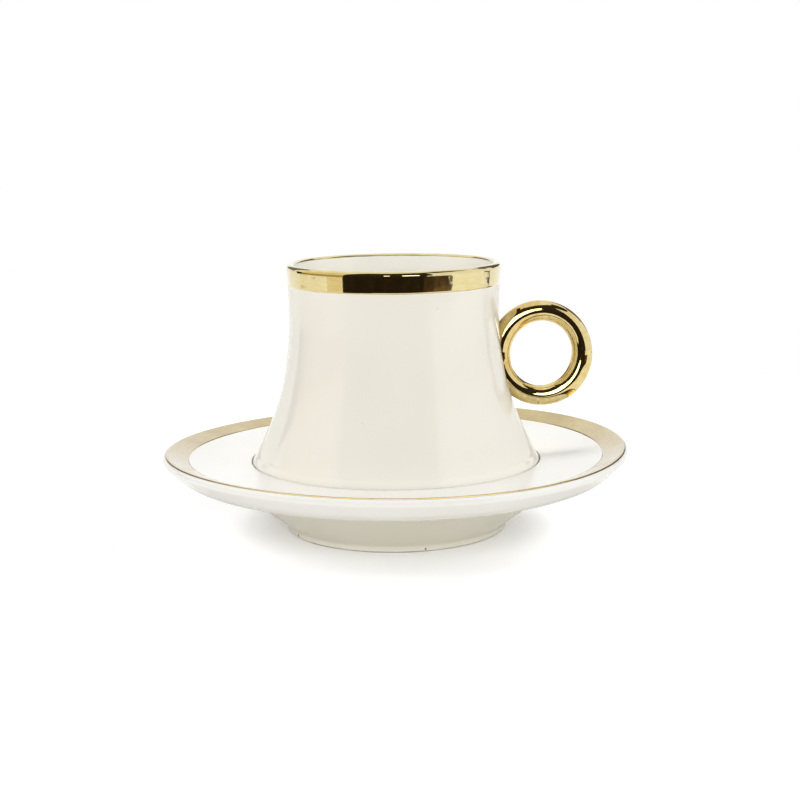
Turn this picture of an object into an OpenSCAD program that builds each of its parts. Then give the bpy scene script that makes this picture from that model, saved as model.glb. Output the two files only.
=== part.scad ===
// Bell-shaped teacup with a ring handle, standing in the well of a footed saucer.
// Millimetres, +Z up. The origin is on the table at the middle of the saucer's foot, and the handle
// points along +X.

/* [Saucer] */
// Diameter over the rim
saucer_d = 140; // [132:1:150]
// Height of the rim above the table
saucer_h = 24.8; // [23.6:0.1:27]
// Thickness of the rounded rim
saucer_rim_t = 2.8; // [2.2:0.1:3.2]
// Slope of the flank under the rim, from level
flank_angle = 46; // [40:1:52]
// Rounding where the flank turns into the underside
keel_round = 10; // [6:0.5:14]
// Slope of the underside between the foot and the flank, from level
underside_angle = 13.5; // [11:0.5:15]
// Depth of the gilded slope below the top of the rim
rim_slope_drop = 2.1; // [1.8:0.1:2.5]
// Fall of the white dish from the gilded slope to the well
dish_fall = 1.6; // [1:0.1:2]
// Depth of the well that the cup stands in
well_depth = 1.7; // [1.4:0.1:2.2]
// Clear gap between the base of the cup and the side of the well
well_gap = 0.4; // [0.3:0.1:1.4]
// Rounding of the edge and the corner of the well
well_round = 0.3; // [0.2:0.1:0.7]
// Thickness under the well
saucer_floor_t = 4.4; // [3.8:0.1:5]

/* [Saucer foot] */
// Outside diameter of the foot ring on the table
foot_d = 66.8; // [62:0.2:70]
// Width of the foot ring
foot_w = 2.6; // [2:0.1:3.2]
// Height of the upright edge of the foot ring
foot_edge_h = 0.8; // [0.7:0.1:1.2]
// Radius of the cove between the foot ring and the cone above it
foot_cove = 2; // [1.5:0.1:4]
// Diameter where the conical foot meets the underside
shoulder_d = 97; // [94:0.5:100]
// Height where the conical foot meets the underside
shoulder_h = 13.6; // [13:0.1:14.2]
// Rounding of the edges of the foot ring
foot_round = 0.5; // [0.3:0.1:0.7]

/* [Cup] */
// Height from the foot of the cup to its lip
cup_h = 61.3; // [57:0.1:66]
// Outside diameter at the waist
waist_d = 63.2; // [60:0.2:67]
// Height of the waist above the foot of the cup
waist_h = 45.3; // [43:0.1:47]
// Radius of the flare from the waist down to the base
base_flare_r = 85; // [80:1:100]
// Radius of the slight flare from the waist up to the lip
lip_flare_r = 192; // [150:1:300]
// Thickness of the wall
cup_wall_t = 2.4; // [2:0.1:2.8]
// Rounding of the outer edge of the base
base_round = 1.3; // [0.9:0.1:1.8]
// Thickness of the floor
cup_floor_t = 3.6; // [3:0.1:4.4]
// Rounding inside, between the floor and the wall
inner_round = 5; // [3.5:0.5:8]
// Diameter of the hollow inside the foot of the cup
cup_hollow_d = 73; // [68:0.5:76]
// Depth of the hollow inside the foot of the cup
cup_hollow_depth = 1.6; // [1:0.1:2]

/* [Ring handle] */
// Diameter of the centre line of the ring
ring_d = 25.4; // [24:0.2:28]
// Diameter of the porcelain tube, without its gilding
tube_d = 6; // [5.2:0.1:6.4]
// Height of the middle of the ring above the foot of the cup
ring_h = 33.2; // [30:0.2:36]
// How deep the centre line of the ring is let into the face of the wall
ring_sink = 0.9; // [0.5:0.1:1.5]

/* [Gilding] */
// Thickness drawn for the gold film
film_t = 0.12; // [0.1:0.01:0.16]
// Height of the band outside the lip of the cup
lip_band_h = 6.3; // [4:0.1:8]
// Depth of the gold inside the cup, below the rounding of the lip
lip_band_in = 0.2; // [0.1:0.1:1.5]
// Width of the band on the rim of the saucer
saucer_band_w = 7.6; // [6.6:0.1:9]
// How far round the outside of the saucer's rim the gold runs, from level
rim_gild_angle = 52; // [35:1:65]

/* [Hidden] */
$fn = 128;
porcelain = "ivory";
gold = "goldenrod";

// The steps that a quarter turn, a long sweep and a short sweep are drawn in
round_steps = 8;
sweep_steps = 16;
short_steps = 4;

// Saucer, as a half section of radius and height
rim_r = saucer_rim_t/2;
rim_c = [saucer_d/2 - rim_r, saucer_h - rim_r];
band_in = [saucer_d/2 - saucer_band_w, saucer_h - rim_slope_drop];
band_reach = rim_c - band_in;
band_angle = atan2(band_reach.y, band_reach.x) + asin(rim_r/norm(band_reach));
dish_z = band_in.y - dish_fall;
well_z = dish_z - well_depth;
ceiling_z = well_z - saucer_floor_t;
foot_r = foot_d/2;
foot_in_r = foot_r - foot_w;
shoulder = [shoulder_d/2, shoulder_h];
cove_c = [foot_r + foot_cove, foot_edge_h];
cove_end = bearing(cove_c, shoulder) + acos(foot_cove/norm(shoulder - cove_c));
flank_start = rim_c + rim_r*heading(flank_angle - 90);
keel_corner = crossing(shoulder, underside_angle, flank_start, flank_angle);
keel_lean = (heading(underside_angle + 90) + heading(flank_angle + 90))
    /(1 + cos(flank_angle - underside_angle));
keel_c = keel_corner + keel_round*keel_lean;
// The conical hollow inside the foot ends this far inside the shoulder
cone_t = 8;
hollow_r = shoulder.x - cone_t;

// Cup, as a half section in the same frame
waist = [waist_d/2, well_z + waist_h];
flare_c = waist + [base_flare_r, 0];
lip_flare_c = waist + [lip_flare_r, 0];
lip_r = cup_wall_t/2;
lip_z = well_z + cup_h - lip_r;
lip_turn = asin((lip_z - waist.y)/(lip_flare_r + lip_r));
lip_c = lip_flare_c + (lip_flare_r + lip_r)*heading(180 - lip_turn);
band_turn = asin((well_z + cup_h - lip_band_h - waist.y)/lip_flare_r);
inside_turn = asin((lip_z - lip_band_in - waist.y)/(lip_flare_r + cup_wall_t));
base_c = corner_centre(0, base_round, well_z);
base_turn = bearing(base_c, flare_c);
cup_floor_z = well_z + cup_hollow_depth + cup_floor_t;
inner_c = corner_centre(cup_wall_t, inner_round, cup_floor_z);
inner_turn = bearing(inner_c, flare_c);
well_r = base_c.x + base_round + well_gap;

// Ring, from the face of the wall at its own height
ring_r = ring_d/2;
ring_z = well_z + ring_h;
wall_r = flare_c.x - sqrt(pow(base_flare_r, 2) - pow(waist.y - ring_z, 2));
ring_x = wall_r - ring_sink + ring_r;

function heading(a) = [cos(a), sin(a)];

function bearing(p, q) = atan2(q.y - p.y, q.x - p.x);

function reversed(points) = [for (i = [len(points) - 1:-1:0]) points[i]];

function arc(c, r, from, to, steps) = [
    for (i = [0:steps]) c + r*heading(from + (to - from)*i/steps)
];

// Where the line through p at slope a meets the line through q at slope b
function crossing(p, a, q, b) =
    let (x = (q.y - p.y + p.x*tan(a) - q.x*tan(b))/(tan(a) - tan(b)))
    [x, p.y + (x - p.x)*tan(a)];

// Middle of a rounded corner between a level floor and the flared wall at some depth behind its face
function corner_centre(depth, r, floor_z) =
    let (rise = waist.y - floor_z - r)
    [flare_c.x - sqrt(pow(base_flare_r + depth + r, 2) - pow(rise, 2)), floor_z + r];

// The rim of the saucer from the end of its gold outside to the end of its gold inside
function rim_line(grow) = concat(
    arc(rim_c, rim_r + grow, rim_gild_angle, 90 + band_angle, round_steps),
    [band_in + grow*heading(90 + band_angle)]
);

// The lip of the cup from the end of its gold outside to the end of its gold inside
function lip_line(grow) = concat(
    arc(lip_flare_c, lip_flare_r - grow, 180 - band_turn, 180 - lip_turn, short_steps),
    arc(lip_c, lip_r + grow, -lip_turn, 180 - lip_turn, 2*round_steps),
    arc(lip_flare_c, lip_flare_r + cup_wall_t + grow, 180 - lip_turn, 180 - inside_turn, 1)
);

// The outside of the cup from its base to where the gold of the lip begins
function bell_line() = concat(
    arc(base_c, base_round, -90, base_turn, round_steps),
    arc(flare_c, base_flare_r, 180 + base_turn, 180, sweep_steps),
    arc(lip_flare_c, lip_flare_r, 180, 180 - band_turn, short_steps)
);

// The inside of the cup from the gold of the lip down to its floor
function bowl_line() = concat(
    arc(lip_flare_c, lip_flare_r + cup_wall_t, 180 - inside_turn, 180, short_steps),
    arc(flare_c, base_flare_r + cup_wall_t, 180, 180 + inner_turn, sweep_steps),
    arc(inner_c, inner_round, inner_turn, -90, round_steps)
);

module saucer_section() {
    well_edge = [well_r + well_round, dish_z - well_round];
    well_corner = [well_r - well_round, well_z + well_round];
    polygon(concat(
        arc([foot_r - foot_round, foot_round], foot_round, -90, 0, short_steps),
        arc(cove_c, foot_cove, 180, cove_end, short_steps),
        [shoulder],
        arc(keel_c, keel_round, underside_angle - 90, flank_angle - 90, round_steps),
        arc(rim_c, rim_r, flank_angle - 90, rim_gild_angle, round_steps),
        rim_line(0),
        arc(well_edge, well_round, 90, 180, short_steps),
        arc(well_corner, well_round, 0, -90, short_steps),
        [[0, well_z], [0, ceiling_z], [hollow_r, ceiling_z], [foot_in_r, foot_edge_h]],
        arc([foot_in_r + foot_round, foot_round], foot_round, 180, 270, short_steps)
    ));
}

module cup_section() {
    hollow_z = well_z + cup_hollow_depth;
    hollow_edge = cup_hollow_d/2;
    polygon(concat(
        bell_line(),
        lip_line(0),
        bowl_line(),
        [[0, cup_floor_z], [0, hollow_z], [hollow_edge - cup_hollow_depth, hollow_z]],
        [[hollow_edge, well_z]]
    ));
}

// Everything within the outer face of the cup, to cut away what the wall takes up
module cup_envelope() {
    rotate_extrude()
        polygon(concat([[0, well_z]], bell_line(), [[0, well_z + cup_h - lip_band_h]]));
}

module torus(r) {
    translate([ring_x, 0, ring_z])
        rotate([90, 0, 0])
            rotate_extrude()
                translate([ring_r, 0])
                    circle(r);
}

module saucer_body() {
    color(porcelain)
        rotate_extrude()
            saucer_section();
}

module saucer_rim_gilding() {
    color(gold)
        rotate_extrude()
            polygon(concat(rim_line(film_t), reversed(rim_line(0))));
}

module cup_body() {
    color(porcelain)
        rotate_extrude()
            cup_section();
}

module cup_rim_gilding() {
    color(gold)
        rotate_extrude()
            polygon(concat(lip_line(film_t), reversed(lip_line(0))));
}

module ring_handle() {
    color(porcelain)
        difference() {
            torus(tube_d/2);
            cup_envelope();
        }
}

module handle_gilding() {
    color(gold)
        difference() {
            torus(tube_d/2 + film_t);
            torus(tube_d/2);
            cup_envelope();
        }
}

saucer_body();
saucer_rim_gilding();
cup_body();
cup_rim_gilding();
ring_handle();
handle_gilding();
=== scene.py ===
import bmesh
import bpy
from math import acos, asin, atan2, cos, degrees, hypot, pi, radians, sin, sqrt, tan
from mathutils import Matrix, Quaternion, Vector, noise


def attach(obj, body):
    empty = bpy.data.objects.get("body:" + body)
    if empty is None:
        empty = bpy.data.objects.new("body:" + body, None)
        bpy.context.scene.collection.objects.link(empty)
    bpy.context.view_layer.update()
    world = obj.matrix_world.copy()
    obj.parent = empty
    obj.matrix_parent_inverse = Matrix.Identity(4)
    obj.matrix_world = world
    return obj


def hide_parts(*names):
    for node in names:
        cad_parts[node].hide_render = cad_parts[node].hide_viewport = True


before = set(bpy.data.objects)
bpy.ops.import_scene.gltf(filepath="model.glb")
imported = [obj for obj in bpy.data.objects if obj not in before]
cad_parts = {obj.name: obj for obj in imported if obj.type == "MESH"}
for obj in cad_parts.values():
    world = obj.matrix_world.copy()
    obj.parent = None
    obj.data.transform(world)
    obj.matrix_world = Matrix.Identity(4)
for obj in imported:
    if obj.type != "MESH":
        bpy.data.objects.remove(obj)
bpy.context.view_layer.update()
mm = 0.001
print("frame loaded:", ", ".join(sorted(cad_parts)))


# half sections are drawn as radius and height in millimetres, on the +X side of the frame

def onSection(r, z):
    return Vector((r * mm, 0, z * mm))


def polar(centre, radius, angle):
    return (centre[0] + radius * cos(radians(angle)), centre[1] + radius * sin(radians(angle)))


def bearing(a, b):
    return degrees(atan2(b[1] - a[1], b[0] - a[0]))


def drawSection(bm, start, moves):
    # (r, z, rounding) is a straight run to a corner, (r, z, turn, steps) spins the last point about r, z
    last = bm.verts.new(onSection(*start))
    corners = []
    for move in moves:
        if len(move) == 4:
            swept = bmesh.ops.spin(bm, geom=[last], cent=onSection(*move[:2]), axis=(0, -1, 0),
                                   angle=radians(move[2]), steps=move[3])
            last = swept["geom_last"][0]
        else:
            corner = bm.verts.new(onSection(*move[:2]))
            bm.edges.new((last, corner))
            corners += [(corner, move[2])] if move[2] else []
            last = corner
    for corner, rounding in corners:
        a, b = [(e.other_vert(corner).co - corner.co).normalized() for e in corner.link_edges]
        bmesh.ops.bevel(bm, geom=[corner], offset=rounding * mm * tan((pi - a.angle(b)) / 2), segments=5,
                        profile=0.5, affect="VERTICES", material=-1)


def supportRuns(bm, keep=0.25, spacing=2.5):
    # points close to the ends of each long run hold the smooth shading to the roundings
    for run in [e for e in bm.edges if e.calc_length() > 6 * keep * mm]:
        for _ in range(2):
            far = run.verts[1]
            bmesh.utils.edge_split(run, run.verts[0], keep * mm / run.calc_length())
            run = max(far.link_edges, key=lambda e: e.calc_length() if e.is_valid else 0)
        cuts = int(run.calc_length() / (spacing * mm))
        if cuts:
            bmesh.ops.subdivide_edges(bm, edges=[run], cuts=cuts)


def turnOnWheel(bm, steps):
    bmesh.ops.spin(bm, geom=bm.verts[:] + bm.edges[:], cent=(0, 0, 0), axis=(0, 0, 1), angle=2 * pi,
                   steps=steps, use_merge=True)
    bmesh.ops.remove_doubles(bm, verts=bm.verts[:], dist=1e-6)
    bmesh.ops.recalc_face_normals(bm, faces=bm.faces[:])


def makePiece(name, bm, materials, body, nodes):
    for face in bm.faces:
        face.smooth = True
    mesh = bpy.data.meshes.new(name)
    bm.to_mesh(mesh)
    bm.free()
    piece = bpy.data.objects.new(name, mesh)
    bpy.context.scene.collection.objects.link(piece)
    for material in materials:
        mesh.materials.append(material)
    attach(piece, body)
    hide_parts(*nodes)
    print(name, len(mesh.vertices), "points on", body)
    return piece


# materials

def hexColour(code):
    parts = [int(code[i:i + 2], 16) / 255 for i in (1, 3, 5)]
    return [c / 12.92 if c <= 0.04045 else ((c + 0.055) / 1.055) ** 2.4 for c in parts] + [1]


def addNode(tree, kind, settings=None, links=None):
    node = tree.nodes.new(kind)
    for name, value in (settings or {}).items():
        if isinstance(name, int) or not hasattr(node, name):
            node.inputs[name].default_value = value
        else:
            setattr(node, name, value)
    for name, socket in (links or {}).items():
        tree.links.new(socket, node.inputs[name])
    return node


def newMaterial(name):
    material = bpy.data.materials.new(name)
    material.use_nodes = True
    tree = material.node_tree
    tree.nodes.clear()
    return material, tree


def perMm(size):
    # texture scale that gives features of this size in millimetres
    return 1 / (size * mm)


def makePorcelain(name, look):
    # hard porcelain dipped in clear glaze and fired: an ivory body under a thin wavy glass skin, with
    # a slightly deeper colour where the glaze is thick and a pinhole or iron speck here and there
    material, tree = newMaterial(name)
    place = addNode(tree, "ShaderNodeTexCoord").outputs["Object"]
    clouds = addNode(tree, "ShaderNodeTexNoise",
                     {"Scale": perMm(look["cloud"]), "Detail": 3, "Roughness": 0.5}, {"Vector": place})
    tint = addNode(tree, "ShaderNodeMix",
                   {"data_type": "RGBA", 6: hexColour(look["thin"]), 7: hexColour(look["thick"])},
                   {0: clouds.outputs["Fac"]})
    cells = addNode(tree, "ShaderNodeTexVoronoi", {"Scale": perMm(look["pinholeSpacing"]), "Randomness": 1},
                    {"Vector": place})
    speck = addNode(tree, "ShaderNodeMapRange",
                    {"From Min": 0.018, "From Max": 0.034, "To Min": 0.25, "To Max": 0},
                    {"Value": cells.outputs["Distance"]})
    for x, y, z, size in look["ironSpecks"]:
        away = addNode(tree, "ShaderNodeVectorMath", {"operation": "DISTANCE", 1: (x * mm, y * mm, z * mm)},
                       {0: place})
        spot = addNode(tree, "ShaderNodeMapRange",
                       {"From Min": 0.5 * size * mm, "From Max": size * mm, "To Min": 0.85, "To Max": 0},
                       {"Value": away.outputs["Value"]})
        speck = addNode(tree, "ShaderNodeMath", {"operation": "MAXIMUM"},
                        {0: speck.outputs[0], 1: spot.outputs[0]})
    body = addNode(tree, "ShaderNodeMix", {"data_type": "RGBA", 7: hexColour(look["speck"])},
                   {0: speck.outputs[0], 6: tint.outputs[2]})
    peel = addNode(tree, "ShaderNodeTexNoise", {"Scale": perMm(look["peel"]), "Detail": 2}, {"Vector": place})
    swell = addNode(tree, "ShaderNodeTexNoise", {"Scale": perMm(look["swell"]), "Detail": 1},
                    {"Vector": place})
    fine = addNode(tree, "ShaderNodeBump", {"Strength": 0.4, "Distance": look["peelRelief"] * mm},
                   {"Height": peel.outputs["Fac"]})
    broad = addNode(tree, "ShaderNodeBump", {"Strength": 0.5, "Distance": look["swellRelief"] * mm},
                    {"Height": swell.outputs["Fac"], "Normal": fine.outputs["Normal"]})
    gloss = addNode(tree, "ShaderNodeMapRange", {"To Min": look["gloss"][0], "To Max": look["gloss"][1]},
                    {"Value": clouds.outputs["Fac"]})
    skin = addNode(tree, "ShaderNodeBsdfPrincipled", {"IOR": 1.5},
                   {"Base Color": body.outputs[2], "Roughness": gloss.outputs[0],
                    "Normal": broad.outputs["Normal"]})
    addNode(tree, "ShaderNodeOutputMaterial", links={"Surface": skin.outputs[0]})
    return material


def makeDryFoot(name, look):
    # porcelain wiped clean of glaze before firing: a dull chalky ring, much darker and greyer than the glaze,
    # with a fine grain and darker grey blotches
    material, tree = newMaterial(name)
    place = addNode(tree, "ShaderNodeTexCoord").outputs["Object"]
    grain = addNode(tree, "ShaderNodeTexNoise",
                    {"Scale": perMm(look["grain"]), "Detail": 4, "Roughness": 0.7}, {"Vector": place})
    blotches = addNode(tree, "ShaderNodeTexNoise", {"Scale": perMm(look["blotches"]), "Detail": 3}, {"Vector": place})
    shade = addNode(tree, "ShaderNodeMapRange", {"From Min": 0.42, "From Max": 0.75},
                    {"Value": blotches.outputs["Fac"]})
    tone = addNode(tree, "ShaderNodeMix",
                   {"data_type": "RGBA", 6: hexColour(look["clean"]), 7: hexColour(look["blotched"])},
                   {0: shade.outputs[0]})
    grit = addNode(tree, "ShaderNodeBump", {"Strength": 0.5, "Distance": look["grainRelief"] * mm},
                   {"Height": grain.outputs["Fac"]})
    dull = addNode(tree, "ShaderNodeMapRange", {"To Min": 0.6, "To Max": 0.9},
                   {"Value": grain.outputs["Fac"]})
    skin = addNode(tree, "ShaderNodeBsdfPrincipled", {"IOR": 1.5},
                   {"Base Color": tone.outputs[2], "Roughness": dull.outputs[0],
                    "Normal": grit.outputs["Normal"]})
    addNode(tree, "ShaderNodeOutputMaterial", links={"Surface": skin.outputs[0]})
    return material


def makeGold(name, look):
    # bright gold painted on by hand over the glaze and fired: a mirror that wavers a little, with faint
    # marks of the brush along the band and a browner, thinner film at its edges
    material, tree = newMaterial(name)
    place = addNode(tree, "ShaderNodeTexCoord").outputs["Object"]
    split = addNode(tree, "ShaderNodeSeparateXYZ", links={0: place})
    flat = addNode(tree, "ShaderNodeVectorMath", {"operation": "MULTIPLY", 1: (1, 1, 0)}, {0: place})
    reach = addNode(tree, "ShaderNodeVectorMath", {"operation": "LENGTH"}, {0: flat.outputs[0]})
    turned = addNode(tree, "ShaderNodeMath", {"operation": "ARCTAN2"},
                     {0: split.outputs["Y"], 1: split.outputs["X"]})
    around = addNode(tree, "ShaderNodeMath", {"operation": "MULTIPLY", 1: look["strokeBend"] * mm},
                     {0: turned.outputs[0]})
    along = addNode(tree, "ShaderNodeCombineXYZ",
                    links={0: reach.outputs["Value"], 1: around.outputs[0], 2: split.outputs["Z"]})
    strokes = addNode(tree, "ShaderNodeTexNoise",
                      {"Scale": perMm(look["stroke"]), "Detail": 3, "Roughness": 0.6},
                      {"Vector": along.outputs[0]})
    clouds = addNode(tree, "ShaderNodeTexNoise", {"Scale": perMm(look["cloud"]), "Detail": 3},
                     {"Vector": place})
    mixed = addNode(tree, "ShaderNodeMath", {"operation": "MULTIPLY"},
                    {0: strokes.outputs["Fac"], 1: clouds.outputs["Fac"]})
    level = addNode(tree, "ShaderNodeMapRange", {"From Min": 0.12, "From Max": 0.4},
                    {"Value": mixed.outputs[0]})
    tone = addNode(tree, "ShaderNodeMix",
                   {"data_type": "RGBA", 6: hexColour(look["deep"]), 7: hexColour(look["pale"])},
                   {0: level.outputs[0]})
    thin = addNode(tree, "ShaderNodeAttribute", {"attribute_name": "thin"})
    rim = addNode(tree, "ShaderNodeMapRange", {"From Min": 0.5, "From Max": 1, "To Max": look["edgeShare"]},
                  {"Value": thin.outputs["Fac"]})
    film = addNode(tree, "ShaderNodeMix", {"data_type": "RGBA", 7: hexColour(look["edge"])},
                   {0: rim.outputs[0], 6: tone.outputs[2]})
    swell = addNode(tree, "ShaderNodeTexNoise",
                    {"Scale": perMm(look["swell"]), "Detail": 2, "Roughness": 0.45}, {"Vector": place})
    lines = addNode(tree, "ShaderNodeBump", {"Strength": look["strokeRelief"], "Distance": 0.004 * mm},
                    {"Height": strokes.outputs["Fac"]})
    waver = addNode(tree, "ShaderNodeBump", {"Strength": 0.6, "Distance": look["swellRelief"] * mm},
                    {"Height": swell.outputs["Fac"], "Normal": lines.outputs["Normal"]})
    polish = addNode(tree, "ShaderNodeMapRange", {"To Min": look["bright"], "To Max": look["dull"]},
                     {"Value": strokes.outputs["Fac"]})
    skin = addNode(tree, "ShaderNodeBsdfPrincipled",
                   {"Metallic": 1, "Coat Weight": look["flux"], "Coat Roughness": 0.12},
                   {"Base Color": film.outputs[2], "Roughness": polish.outputs[0],
                    "Normal": waver.outputs["Normal"]})
    addNode(tree, "ShaderNodeOutputMaterial", links={"Surface": skin.outputs[0]})
    return material


# colours, sizes of each pattern in millimetres, and roughness from the smoothest to the dullest spot
porcelainLook = {"thin": "#f1eee5", "thick": "#ece8dc", "cloud": 24, "speck": "#4a4034", "pinholeSpacing": 7,
                 "peel": 3.2, "peelRelief": 0.02, "swell": 14, "swellRelief": 0.12, "gloss": (0.05, 0.13),
                 "ironSpecks": []}
# painted light: a paler copy of the glaze for the inside of the cup, so that the inside looks more brightly
# lit
insideLitLook = dict(porcelainLook, thin="#fbf9f2", thick="#f6f3e8")
# painted light and shade: the saucer's glaze comes in two tinted copies, one for the faces that look up and
# one for the faces that look down below the keel; the iron specks on the underside are real
dishLitLook = dict(porcelainLook, thin="#efeeeb", thick="#eae8e2", gloss=(0.16, 0.24))
underShadeAndSpecksLook = dict(porcelainLook, thin="#eeebde", thick="#e9e5d5",
                 ironSpecks=[(-29.4, -15.9, 0.9, 0.5), (8.2, -32.4, 0.8, 0.4)])   # x, y, z and radius
dryFootLook = {"clean": "#c8c0b0", "blotched": "#8f8677", "grain": 0.5, "grainRelief": 0.04, "blotches": 9}
# flux is the clear glass of the gold's own flux, left on the surface
lipLook = {"pale": "#e7dba6", "deep": "#dac88c", "edge": "#8a6426", "edgeShare": 0.25, "cloud": 11,
           "stroke": 0.7, "strokeBend": 6, "strokeRelief": 0.1, "swell": 6, "swellRelief": 0.06,
           "bright": 0.02, "dull": 0.06, "flux": 1}
ringLook = dict(lipLook, pale="#e8d9a2", deep="#d6b974", stroke=1.6, swell=5, swellRelief=0.1, flux=0)
saucerLook = dict(lipLook, pale="#cdb97c", deep="#b69c5c", stroke=0.45, strokeBend=5, strokeRelief=0.5,
                  bright=0.12, dull=0.26, edgeShare=0.05)
glaze = makePorcelain("glazedPorcelain", porcelainLook)
innerLitGlaze = makePorcelain("glazedPorcelainInsidePaintedLight", insideLitLook)
dishLitGlaze = makePorcelain("glazedPorcelainDishLitTone", dishLitLook)
underShadeAndSpecksGlaze = makePorcelain("glazedPorcelainUndersideShadeAndSpecks", underShadeAndSpecksLook)
dryFoot = makeDryFoot("unglazedPorcelain", dryFootLook)
lipGold = makeGold("brightGoldLip", lipLook)
ringGold = makeGold("brightGoldRing", ringLook)
saucerGold = makeGold("brushedGoldBand", saucerLook)
print("materials ready")


# saucer

# lengths in millimetres and angles in degrees; what the kiln did to the rim is lean, warp, spread and shift
saucerSize = {"across": 140, "high": 24.8, "rim": 2.8, "flank": 46, "keel": 10, "underside": 13.5,
              "slopeDrop": 2.1, "dishFall": 1.6, "wellDepth": 1.7, "wellGap": 0.4, "wellRound": 0.2,
              "floor": 4.4, "foot": 66.8, "footWidth": 2.6, "footEdge": 0.8, "footCove": 2, "footRound": 0.5,
              "shoulder": 97, "shoulderHigh": 13.6, "shoulderRound": 1.2, "bandRound": 5, "hollow": 81,
              "hollowRound": 2.5, "dryHigh": 0.3, "lean": (0.6, -0.35), "warp": 0.74, "warpBearing": 35,
              "spread": 0.48, "shift": -0.2, "steps": 240}
cupSize = {"high": 61.3, "waist": 63.2, "waistHigh": 45.3, "baseFlare": 85, "lipFlare": 192, "wall": 2.4,
           "baseRound": 1.3, "floor": 3.6, "innerRound": 5, "hollow": 73, "hollowDeep": 1.6,
           "hollowRound": 1.2, "hollowEdge": 0.5, "dryHigh": 0.25, "creaseHigh": 3.7, "creaseDeep": 0.1,
           "creaseWide": 0.7, "steps": 240}
gilding = {"film": 0.04, "ringFilm": 0.12, "sunk": 0.05, "lipBand": 6.3, "lipAngle": 155,
           "lipFade": 0.7, "saucerBand": 7.6, "rimAngle": 57, "bandFade": 0.5, "waver": 0.09, "waverWide": 9}

s, c = saucerSize, cupSize
rimRadius = s["rim"] / 2
rimCentre = (s["across"] / 2 - rimRadius, s["high"] - rimRadius)
bandIn = (s["across"] / 2 - gilding["saucerBand"], s["high"] - s["slopeDrop"])
bandReach = hypot(rimCentre[0] - bandIn[0], rimCentre[1] - bandIn[1])
bandAngle = bearing(bandIn, rimCentre) + degrees(asin(rimRadius / bandReach))
dishZ = bandIn[1] - s["dishFall"]
wellZ = dishZ - s["wellDepth"]

waist = (c["waist"] / 2, wellZ + c["waistHigh"])
flareCentre = (waist[0] + c["baseFlare"], waist[1])
lipFlareCentre = (waist[0] + c["lipFlare"], waist[1])


def wallCorner(depth, radius, floorZ):
    # middle of a rounding between a level floor and the flared wall, some depth behind its face
    rise = waist[1] - floorZ - radius
    return (flareCentre[0] - sqrt((c["baseFlare"] + depth + radius) ** 2 - rise ** 2), floorZ + radius)


baseCentre = wallCorner(0, c["baseRound"], wellZ)
wellRadius = baseCentre[0] + c["baseRound"] + s["wellGap"]


def leanRim(bm):
    # the rim moved in the kiln: it opened, sank at the left and the back and rose at two ends, and the
    # foot stayed flat
    for v in bm.verts:
        r, turn = hypot(v.co.x, v.co.y) / mm, atan2(v.co.y, v.co.x)
        share = min(1, max(0, r - wellRadius) / (s["across"] / 2 - wellRadius)) ** 2 * mm
        rise = s["lean"][0] * cos(turn) + s["lean"][1] * sin(turn)
        rise += s["warp"] * cos(2 * turn - 2 * radians(s["warpBearing"]))
        v.co += Vector((s["shift"] + s["spread"] * cos(turn), s["spread"] * sin(turn), rise)) * share


def makeSaucer():
    shoulder = (s["shoulder"] / 2, s["shoulderHigh"])
    footRadius = s["foot"] / 2
    footInside = footRadius - s["footWidth"]
    coveCentre = (footRadius + s["footCove"], s["footEdge"])
    coveTurn = bearing(coveCentre, shoulder) + degrees(
        acos(s["footCove"] / hypot(shoulder[0] - coveCentre[0], shoulder[1] - coveCentre[1])))
    flankStart = polar(rimCentre, rimRadius, s["flank"] - 90)
    under, flank = tan(radians(s["underside"])), tan(radians(s["flank"]))
    keelR = (flankStart[1] - shoulder[1] + shoulder[0] * under - flankStart[0] * flank) / (under - flank)
    keel = (keelR, shoulder[1] + (keelR - shoulder[0]) * under)
    ceilingZ = wellZ - s["floor"]
    bm = bmesh.new()
    drawSection(bm, (0, wellZ), [
        (wellRadius, wellZ, s["wellRound"]),
        (wellRadius, dishZ, s["wellRound"]),
        (*bandIn, s["bandRound"]),
        (*polar(rimCentre, rimRadius, 90 + bandAngle), 0),
        (*rimCentre, s["flank"] - 180 - bandAngle, 18),
        (*keel, s["keel"]),
        (*shoulder, s["shoulderRound"]),
        (*polar(coveCentre, s["footCove"], coveTurn), 0),
        (*coveCentre, 180 - coveTurn, 6),
        (footRadius, 0, s["footRound"]),
        (footInside, 0, s["footRound"]),
        (s["hollow"] / 2, ceilingZ, s["hollowRound"]),
        (0, ceilingZ, 0)])
    supportRuns(bm)
    turnOnWheel(bm, s["steps"])
    leanRim(bm)
    # faces that look down below the keel take the underside copy of the glaze, a painted shade tint, and the
    # lowest faces take the unglazed porcelain
    for face in bm.faces:
        low = face.calc_center_median().z
        beneath = low < keel[1] * mm and face.normal.z < 0
        face.material_index = 2 if low < s["dryHigh"] * mm else int(beneath)
    return makePiece("saucer", bm, [dishLitGlaze, underShadeAndSpecksGlaze, dryFoot], "saucer",
                     ["saucer_body"])


def markThin(bm, edges, fade):
    # 1 or a given share at the edge of the gold, 0 where the film is full
    layer = bm.verts.layers.float.new("thin")
    for v in bm.verts:
        r = hypot(v.co.x, v.co.y) / mm
        v[layer] = max(max(0, 1 - hypot(r - e[0], v.co.z / mm - e[1]) / fade) * share for e, share in edges)
    return layer


def handWaver(v, seed):
    # the small wander of a band painted on a turning wheel, the same on each run
    wide = gilding["waverWide"]
    return noise.noise(Vector((v.co.x / mm / wide, v.co.y / mm / wide, seed)))


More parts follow.
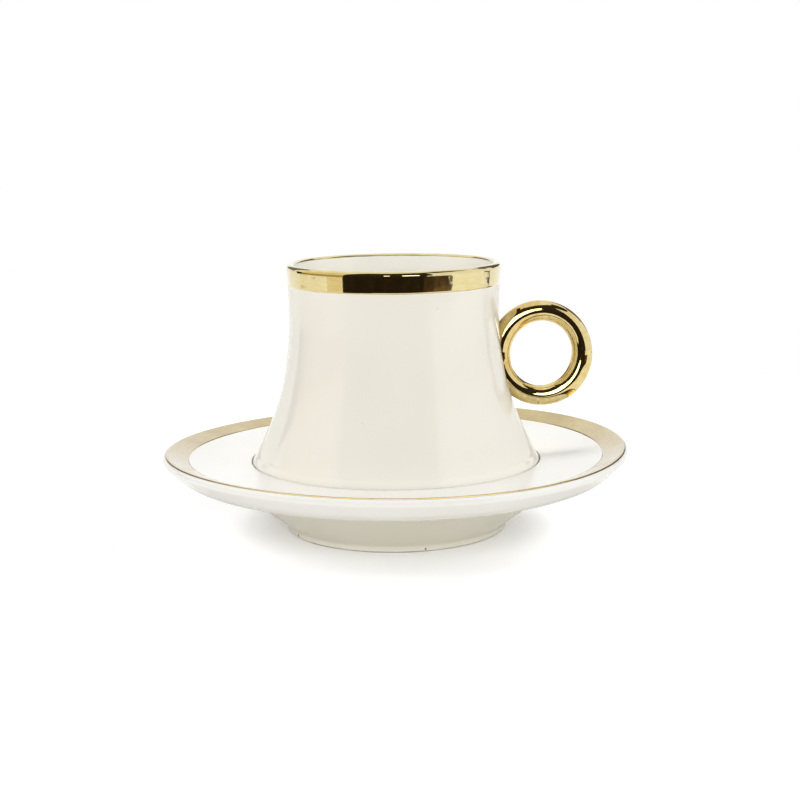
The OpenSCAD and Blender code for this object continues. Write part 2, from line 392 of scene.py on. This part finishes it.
def makeSaucerBand():
    film, sunk = gilding["film"], gilding["sunk"]
    outer, inner = rimRadius + film, rimRadius - sunk
    across = 90 + bandAngle - gilding["rimAngle"]
    bm = bmesh.new()
    drawSection(bm, polar(rimCentre, outer, gilding["rimAngle"]), [
        (*rimCentre, across, 14),
        (*polar(bandIn, film, 90 + bandAngle), 0),
        (*polar(bandIn, -sunk, 90 + bandAngle), 0),
        (*polar(rimCentre, inner, 90 + bandAngle), 0),
        (*rimCentre, -across, 14),
        (*polar(rimCentre, outer, gilding["rimAngle"]), 0)])
    supportRuns(bm, keep=0.4, spacing=0.8)
    turnOnWheel(bm, s["steps"])
    upper = polar(rimCentre, rimRadius, gilding["rimAngle"])
    thin = markThin(bm, [(bandIn, 0.45), (upper, 1)], gilding["bandFade"])
    for v in bm.verts:
        if hypot(v.co.x, v.co.y) < (bandIn[0] + 2) * mm:
            slide = Vector((v.co.x, v.co.y, 0)).normalized() * cos(radians(bandAngle))
            slide.z = sin(radians(bandAngle))
            v.co += slide * handWaver(v, 3.1) * v[thin] * 2 * gilding["waver"] * mm
    leanRim(bm)
    return makePiece("saucerBand", bm, [saucerGold], "saucer", ["saucer_rim_gilding"])


saucer = makeSaucer()
saucerBand = makeSaucerBand()


# cup

lipRadius = c["wall"] / 2
lipZ = wellZ + c["high"] - lipRadius
lipTurn = degrees(asin((lipZ - waist[1]) / (c["lipFlare"] + lipRadius)))
lipCentre = polar(lipFlareCentre, c["lipFlare"] + lipRadius, 180 - lipTurn)
baseTurn = bearing(baseCentre, flareCentre)
cupFloorZ = wellZ + c["hollowDeep"] + c["floor"]


def makeCup():
    innerCentre = wallCorner(c["wall"], c["innerRound"], cupFloorZ)
    innerTurn = bearing(innerCentre, flareCentre)
    hollowZ = wellZ + c["hollowDeep"]
    hollow = c["hollow"] / 2
    bm = bmesh.new()
    drawSection(bm, (0, hollowZ), [
        (hollow - c["hollowDeep"], hollowZ, c["hollowRound"]),
        (hollow, wellZ, c["hollowEdge"]),
        (baseCentre[0], wellZ, 0),
        (*baseCentre, baseTurn + 90, 10),
        (*flareCentre, -baseTurn, 90),
        (*lipFlareCentre, -lipTurn, 8),
        (*lipCentre, 180, 16),
        (*lipFlareCentre, lipTurn, 8),
        (*flareCentre, innerTurn, 36),
        (*innerCentre, -90 - innerTurn, 12),
        (0, cupFloorZ, 0)])
    supportRuns(bm)
    turnOnWheel(bm, c["steps"])
    for v in bm.verts:
        # a faint turned line just above the base
        r, away = hypot(v.co.x, v.co.y), v.co.z / mm - wellZ - c["creaseHigh"]
        if abs(away) < c["creaseWide"] and r > (wellRadius - c["wall"]) * mm:
            sink = c["creaseDeep"] * mm * (1 - (away / c["creaseWide"]) ** 2) ** 2
            v.co.x, v.co.y = v.co.x * (1 - sink / r), v.co.y * (1 - sink / r)
    # the inner faces take the paler copy of the glaze, which is painted light, and the lowest faces take the
    # unglazed porcelain
    for face in bm.faces:
        middle = face.calc_center_median()
        outward = face.normal.x * middle.x + face.normal.y * middle.y
        inside = middle.z > (cupFloorZ - 0.1) * mm and outward < 1e-4
        face.material_index = 2 if inside else int(middle.z < (wellZ + c["dryHigh"]) * mm)
    return makePiece("cup", bm, [glaze, dryFoot, innerLitGlaze], "cup", ["cup_body"])


def makeLipBand():
    film, sunk = gilding["film"], gilding["sunk"]
    bandTurn = degrees(asin((wellZ + c["high"] - gilding["lipBand"] - waist[1]) / c["lipFlare"]))
    over = gilding["lipAngle"] + lipTurn
    start = polar(lipFlareCentre, c["lipFlare"] - film, 180 - bandTurn)
    bm = bmesh.new()
    drawSection(bm, start, [
        (*lipFlareCentre, bandTurn - lipTurn, 12),
        (*lipCentre, over, 18),
        (*polar(lipCentre, lipRadius - sunk, gilding["lipAngle"]), 0),
        (*lipCentre, -over, 18),
        (*lipFlareCentre, lipTurn - bandTurn, 12),
        (*start, 0)])
    turnOnWheel(bm, c["steps"])
    lower = polar(lipFlareCentre, c["lipFlare"], 180 - bandTurn)
    upper = polar(lipCentre, lipRadius, gilding["lipAngle"])
    thin = markThin(bm, [(lower, 1), (upper, 1)], gilding["lipFade"])
    for v in bm.verts:
        v.co.z += handWaver(v, 7.7) * v[thin] * gilding["waver"] * mm
    return makePiece("lipBand", bm, [lipGold], "cup", ["cup_rim_gilding"])


ringSize = {"centreLine": 25.4, "tube": 6, "high": 33.2, "sink": 0.9, "oval": 0.25, "swell": 0.06,
            "swellBearing": -40, "uneven": 0.06, "unevenWide": 9, "cutDepth": 1.5, "steps": 160, "sides": 48}


def makeGiltRing():
    radius = ringSize["centreLine"] / 2
    tube = ringSize["tube"] / 2 + gilding["ringFilm"]
    ringZ = wellZ + ringSize["high"]
    wallR = flareCentre[0] - sqrt(c["baseFlare"] ** 2 - (waist[1] - ringZ) ** 2)
    ringX = wallR - ringSize["sink"] + radius
    bm = bmesh.new()
    bmesh.ops.create_circle(bm, segments=ringSize["sides"], radius=tube * mm)
    # the tube's section lies in XY, and the ring turns about Y
    bmesh.ops.translate(bm, verts=bm.verts[:], vec=(radius * mm, 0, 0))
    bmesh.ops.rotate(bm, verts=bm.verts[:], cent=(radius * mm, 0, 0),
                     matrix=Quaternion((0, 0, 1), pi / 2).to_matrix())
    bmesh.ops.translate(bm, verts=bm.verts[:], vec=(ringX * mm, 0, ringZ * mm))
    bmesh.ops.spin(bm, geom=bm.verts[:] + bm.edges[:], cent=(ringX * mm, 0, ringZ * mm), axis=(0, 1, 0),
                   angle=2 * pi, steps=ringSize["steps"], use_merge=True)
    bmesh.ops.remove_doubles(bm, verts=bm.verts[:], dist=1e-6)
    bmesh.ops.recalc_face_normals(bm, faces=bm.faces[:])
    bm.normal_update()
    for v in bm.verts:
        # shaped by hand: a little taller than wide, with a tube that swells, thins and wavers along the ring
        away = v.co - Vector((ringX, 0, ringZ)) * mm
        turn = atan2(away.z, away.x)
        spine = Vector((cos(turn), 0, sin(turn)))
        swell = ringSize["swell"] * cos(2 * turn - 2 * radians(ringSize["swellBearing"]))
        waver = noise.noise(v.co / mm / ringSize["unevenWide"]) * ringSize["uneven"]
        v.co += (away - spine * radius * mm) * swell
        v.co += (v.normal * waver - spine * ringSize["oval"] * cos(2 * turn)) * mm
    # cut off inside the wall, on a slope that follows it, and closed there
    lean = Vector((1, 0, (waist[1] - ringZ) / c["baseFlare"])).normalized()
    cut = bmesh.ops.bisect_plane(bm, geom=bm.verts[:] + bm.edges[:] + bm.faces[:], dist=1e-7,
                                 plane_co=((wallR - ringSize["cutDepth"]) * mm, 0, ringZ * mm),
                                 plane_no=lean, clear_inner=True)
    bmesh.ops.holes_fill(bm, edges=[e for e in cut["geom_cut"] if isinstance(e, bmesh.types.BMEdge)], sides=0)
    bmesh.ops.recalc_face_normals(bm, faces=bm.faces[:])
    return makePiece("giltRing", bm, [ringGold], "cup", ["ring_handle", "handle_gilding"])


cup = makeCup()
lipBand = makeLipBand()
giltRing = makeGiltRing()


# stage, light and camera

# lifts are the share of white that a paper shows by itself, lengths are metres, and tooth is millimetres
studio = {"floorLift": 0.197, "floorColour": "#f3f4f8", "floorRadius": 0.32, "sweepLift": 0.1,
          "sweepColour": "#f4f3f0", "sweepRadius": 0.9, "sweepBelow": 0.00002, "tooth": 1.2, "dome": 0.02}
floorLamps = {   # place, size and radiance, on the floor alone
    "floorLeft": ((-1.029, -0.276, 0.746), (0.9, 0.5), 6.14),
    "floorRight": ((1.029, -0.276, 0.746), (0.9, 0.5), 4.26),
    "floorFront": ((0, -1.178, 0.549), (0.9, 0.5), 6.88),
    "floorBackLeft": ((-0.816, 0.685, 0.746), (0.9, 0.5), 4.43),
    "floorBackRight": ((0.816, 0.685, 0.746), (0.9, 0.5), 8.79)}
softboxes = {   # place, size and radiance, on the part and the sweep
    "softboxLeft": ((-1.16, -0.18, 0.54), (1.35, 0.75), 2.2),
    "softboxRight": ((1.16, -0.18, 0.54), (1.35, 0.75), 2.28),
    "softboxFront": ((0, -1.5, 0.45), (1.2, 0.6), 5),
    "softboxTop": ((0, 0.1, 1.3), (0.6, 0.5), 9.5),
    "softboxBack": ((0, 1.0, 0.9), (0.8, 0.6), 3.7)}
windows = {   # bright panes that one mirror of gold shows: place, aim, size, radiance and gold
    "ringWindow": ((-0.047, -0.577, 0.2), (0.044, 0, 0.053), (0.34, 0.36), 4, giltRing),
    "bandWindow": ((0, 0.35, 1.3), (0, 0, 0.02), (1, 0.9), 1.65, saucerBand),
    "lipWindow": ((0.18, -0.572, 0.12), (0, -0.03, 0.08), (0.18, 0.1), 4, lipBand),
    "lipPane": ((-0.073, -0.595, 0.12), (0, -0.03, 0.08), (0.06, 0.08), 4, lipBand)}

cardColours = {   # glow of each painted reflection, at the low edge and at the high edge
    "black": ("#231b13", "#30261c"), "dark": ("#2a241c", "#463d30"), "darkBrownPatch": ("#2a2015", "#4a3820"),
    "brownPatch": ("#3e2f1c", "#85683c"), "deepAmber": ("#8a6a34", "#b29055"), "paleAmber": ("#b29055", "#f8f4e4"),
    "amber": ("#a08048", "#c4a86c"), "warm": ("#faf1da", "#f6e8c6"), "cream": ("#eaddb0", "#fbf2d4"),
    "grey": ("#7a746a", "#8f887c"), "deepGrey": ("#55514a", "#67625a")}
near, far, top = 0.18, 0.62, 1.58   # where the floor cards begin, and where the walls stand and end
brownPatchMiddle, amberMiddle = (0.059, 0.092, 0), (0.063, 0.135, 0)
cards = {   # low edge, high edge, angles, colour, middle and grain, as makeCard takes them
    "blackFloorCard": ((near, 0.002), (far, 0.002), -53.5, 34, "black"),
    "darkRightFloorCard": ((0.24, 0.0025), (0.43, 0.0025), 34, 58, "dark"),
    "blackNearCard": ((0.12, 0.002), (near, 0.002), -53.5, -22, "black"),
    "darkBrownPatchCard": ((0.3, 0.003), (0.44, 0.003), 17, 27, "darkBrownPatch", brownPatchMiddle, 15),
    "brownPatchCard": ((0.374, 0.003), (0.44, 0.003), 27, 46, "brownPatch", brownPatchMiddle, 15),
    "brownPatchNearCard": ((0.3, 0.003), (0.374, 0.003), 27, 34, "brownPatch", brownPatchMiddle, 15),
    "amberNearCard": ((0.4, 0.002), (0.481, 0.002), -97, -46, "deepAmber", amberMiddle),
    "warmNearCard": ((0.481, 0.002), (0.49, 0.002), -97, -46, "paleAmber", amberMiddle),
    "warmFloorCard": ((0.49, 0.002), (0.53, 0.002), -60, -46, "warm", amberMiddle),
    "amberFloorCard": ((0.53, 0.002), (0.66, 0.002), -97, -46, "amber", amberMiddle),
    "amberWallCard": ((far, 0.002), (far, 0.12), -112, -53, "amber", (0, 0, 0), 60),
    "warmWallCard": ((far, 0.12), (far, 0.8), -112, -53, "cream", (0, 0, 0), 60),
    "markLeftCard": ((0.52, 0.003), (far - 0.01, 0.15), -122, -111, "black"),
    "markRightCard": ((0.485, 0.002), (0.56, 0.002), 109, 121, "black"),
    "markUpperCard": ((far, 0.3), (far, 0.6), 116, 126, "black"),
    "darkWallCard": ((far, 0.002), (far, top), -53, 40, "dark"),
    "darkUpperCard": ((far, 0.67), (far, top), 40, 110, "dark"),
    "darkBackLeftCard": ((far, 0.13), (far, 0.55), -158, -128, "grey"),
    "darkBackRightCard": ((far, 0.13), (far, 0.55), 128, 158, "deepGrey")}


def seenWhite(tree):
    # 1 for what the camera sees directly, in gold or glaze, or through something
    path = addNode(tree, "ShaderNodeLightPath")
    either = addNode(tree, "ShaderNodeMath", {"operation": "MAXIMUM"},
                     {0: path.outputs["Is Camera Ray"], 1: path.outputs["Is Glossy Ray"]})
    return addNode(tree, "ShaderNodeMath", {"operation": "MAXIMUM"},
                   {0: either.outputs[0], 1: path.outputs["Is Transmission Ray"]}).outputs[0]


def makePaper(tree, colour):
    # matt white paper with a fine tooth
    coords = addNode(tree, "ShaderNodeTexCoord")
    tooth = addNode(tree, "ShaderNodeTexNoise", {"Scale": perMm(studio["tooth"]), "Detail": 3},
                    {"Vector": coords.outputs["Object"]})
    relief = addNode(tree, "ShaderNodeBump", {"Strength": 0.1, "Distance": 0.02 * mm},
                     {"Height": tooth.outputs["Fac"]})
    return addNode(tree, "ShaderNodeBsdfDiffuse", {"Color": hexColour(colour)},
                   {"Normal": relief.outputs["Normal"]})


def addStage(name, bm, material):
    mesh = bpy.data.meshes.new(name)
    bm.to_mesh(mesh)
    bm.free()
    mesh.materials.append(material)
    thing = bpy.data.objects.new(name, mesh)
    bpy.context.scene.collection.objects.link(thing)
    return thing


def makeFloor():
    # the paper that the camera sees: a little lift keeps it white and it still takes the soft shadow
    material, tree = newMaterial("whitePaperFloor")
    paper = makePaper(tree, studio["floorColour"])
    lift = addNode(tree, "ShaderNodeEmission", {"Color": (1, 1, 1, 1), "Strength": studio["floorLift"]})
    both = addNode(tree, "ShaderNodeAddShader", links={0: paper.outputs[0], 1: lift.outputs[0]})
    addNode(tree, "ShaderNodeOutputMaterial", links={"Surface": both.outputs[0]})
    bm = bmesh.new()
    bmesh.ops.create_circle(bm, cap_ends=True, segments=96, radius=studio["floorRadius"])
    floor = addStage("floor", bm, material)
    floor.visible_diffuse = floor.visible_glossy = floor.visible_transmission = floor.visible_shadow = False
    return floor


def makeSweep():
    # the same paper as the object sees it: it throws light up, and gold and glaze show it white
    material, tree = newMaterial("whitePaperSweep")
    paper = makePaper(tree, studio["sweepColour"])
    lift = addNode(tree, "ShaderNodeEmission", {"Color": (1, 1, 1, 1), "Strength": studio["sweepLift"]})
    both = addNode(tree, "ShaderNodeAddShader", links={0: paper.outputs[0], 1: lift.outputs[0]})
    shown = addNode(tree, "ShaderNodeMixShader",
                    links={0: seenWhite(tree), 1: paper.outputs[0], 2: both.outputs[0]})
    addNode(tree, "ShaderNodeOutputMaterial", links={"Surface": shown.outputs[0]})
    material.cycles.emission_sampling = "NONE"
    bm = bmesh.new()
    bmesh.ops.create_circle(bm, cap_ends=True, segments=96, radius=studio["sweepRadius"])
    bmesh.ops.translate(bm, verts=bm.verts[:], vec=(0, 0, -studio["sweepBelow"]))
    sweep = addStage("sweep", bm, material)
    sweep.visible_camera = False
    return sweep


def makeCard(name, low, high, fromAngle, toAngle, colour, middle=(0, 0, 0), grain=40):
    # part of a ring of glowing card about its middle, which only the gold and the glaze see, so its colour is
    # a painted reflection
    # and lights nothing: low and high are its edges as radius and height in metres, and the angles run from
    # the front round to the right
    material, tree = newMaterial(name)
    coords = addNode(tree, "ShaderNodeTexCoord")
    streaks = addNode(tree, "ShaderNodeTexNoise", {"Scale": perMm(grain), "Detail": 4},
                      {"Vector": coords.outputs["Object"]})
    across = addNode(tree, "ShaderNodeAttribute", {"attribute_name": "across"})
    broken = addNode(tree, "ShaderNodeMapRange",
                     {"From Min": 0.3, "From Max": 0.7, "To Min": -0.4, "To Max": 0.4},
                     {"Value": streaks.outputs["Fac"]})
    share = addNode(tree, "ShaderNodeMath", {"operation": "ADD", "use_clamp": True},
                    {0: across.outputs["Fac"], 1: broken.outputs[0]})
    lowColour, highColour = cardColours[colour]
    tone = addNode(tree, "ShaderNodeMix",
                   {"data_type": "RGBA", 6: hexColour(lowColour), 7: hexColour(highColour)},
                   {0: share.outputs[0]})
    # the card only glows with its colour: a painted reflection, no lamp
    glow = addNode(tree, "ShaderNodeEmission", links={"Color": tone.outputs[2]})
    addNode(tree, "ShaderNodeOutputMaterial", links={"Surface": glow.outputs[0]})
    material.cycles.emission_sampling = "NONE"
    bm = bmesh.new()
    layer = bm.verts.layers.float.new("across")
    ends = [bm.verts.new((0, -r, z)) for r, z in (low, high)]
    ends[1][layer] = 1
    bm.edges.new(ends)
    bmesh.ops.rotate(bm, verts=ends, cent=(0, 0, 0),
                     matrix=Quaternion((0, 0, 1), radians(fromAngle)).to_matrix())
    bmesh.ops.spin(bm, geom=bm.verts[:] + bm.edges[:], cent=(0, 0, 0), axis=(0, 0, 1),
                   angle=radians(toAngle - fromAngle), steps=24)
    bmesh.ops.translate(bm, verts=bm.verts[:], vec=middle)
    card = addStage(name, bm, material)
    card.visible_camera = card.visible_diffuse = card.visible_shadow = card.visible_transmission = False
    return card


def makeLamp(name, place, aim, size, radiance, onto, inGloss=False):
    # a panel that lights only the things listed
    data = bpy.data.lights.new(name, "AREA")
    data.shape = "RECTANGLE"
    data.size, data.size_y = size
    data.energy = radiance * pi * size[0] * size[1]
    lamp = bpy.data.objects.new(name, data)
    lamp.location = place
    lamp.rotation_euler = (Vector(aim) - Vector(place)).to_track_quat("-Z", "Y").to_euler()
    lamp.visible_camera = False
    lamp.visible_glossy = inGloss
    bpy.context.scene.collection.objects.link(lamp)
    lamp.light_linking.receiver_collection = bpy.data.collections.new(name)
    for thing in onto:
        lamp.light_linking.receiver_collection.objects.link(thing)
    return lamp


def makeWorld():
    # white where it is seen, and nearly no light of its own
    world = bpy.data.worlds.new("whiteStudio")
    bpy.context.scene.world = world
    world.use_nodes = True
    tree = world.node_tree
    tree.nodes.clear()
    fill = addNode(tree, "ShaderNodeBackground", {"Color": (1, 1, 1, 1), "Strength": studio["dome"]})
    white = addNode(tree, "ShaderNodeBackground", {"Color": (1, 1, 1, 1), "Strength": 1})
    sky = addNode(tree, "ShaderNodeMixShader",
                  links={0: seenWhite(tree), 1: fill.outputs[0], 2: white.outputs[0]})
    addNode(tree, "ShaderNodeOutputWorld", links={"Surface": sky.outputs[0]})


# millimetres for the lens, degrees for rise and roll, and metres
view = {"focal": 69.2, "away": 0.4687, "rise": 10.65, "middle": 0.035, "aim": (0.00145, 0, 0.03865),
        "roll": -0.7}


def makeCamera():
    lens = bpy.data.cameras.new("photoView")
    lens.sensor_width = 36
    lens.lens = view["focal"]
    lens.clip_start = 0.01
    camera = bpy.data.objects.new("photoView", lens)
    bpy.context.scene.collection.objects.link(camera)
    rise = radians(view["rise"])
    camera.location = (0, -view["away"] * cos(rise), view["middle"] + view["away"] * sin(rise))
    towards = (Vector(view["aim"]) - camera.location).to_track_quat("-Z", "Y")
    camera.rotation_mode = "QUATERNION"
    camera.rotation_quaternion = towards @ Quaternion((0, 0, 1), radians(view["roll"]))
    return camera


floor = makeFloor()
sweep = makeSweep()
for name, card in cards.items():
    makeCard(name, *card)
pieces = [saucer, saucerBand, cup, lipBand, giltRing]
for name, (place, size, radiance) in softboxes.items():
    makeLamp(name, place, (0, 0, 0.04), size, radiance, pieces + [sweep])
for name, (place, size, radiance) in floorLamps.items():
    makeLamp(name, place, (0, 0, 0), size, radiance, [floor])
for name, (place, aim, size, radiance, gold) in windows.items():
    makeLamp(name, place, aim, size, radiance, [gold], True)
makeWorld()
bpy.context.scene.camera = makeCamera()
bpy.context.scene.view_settings.view_transform = "Standard"
print("stage, lamps and camera ready")
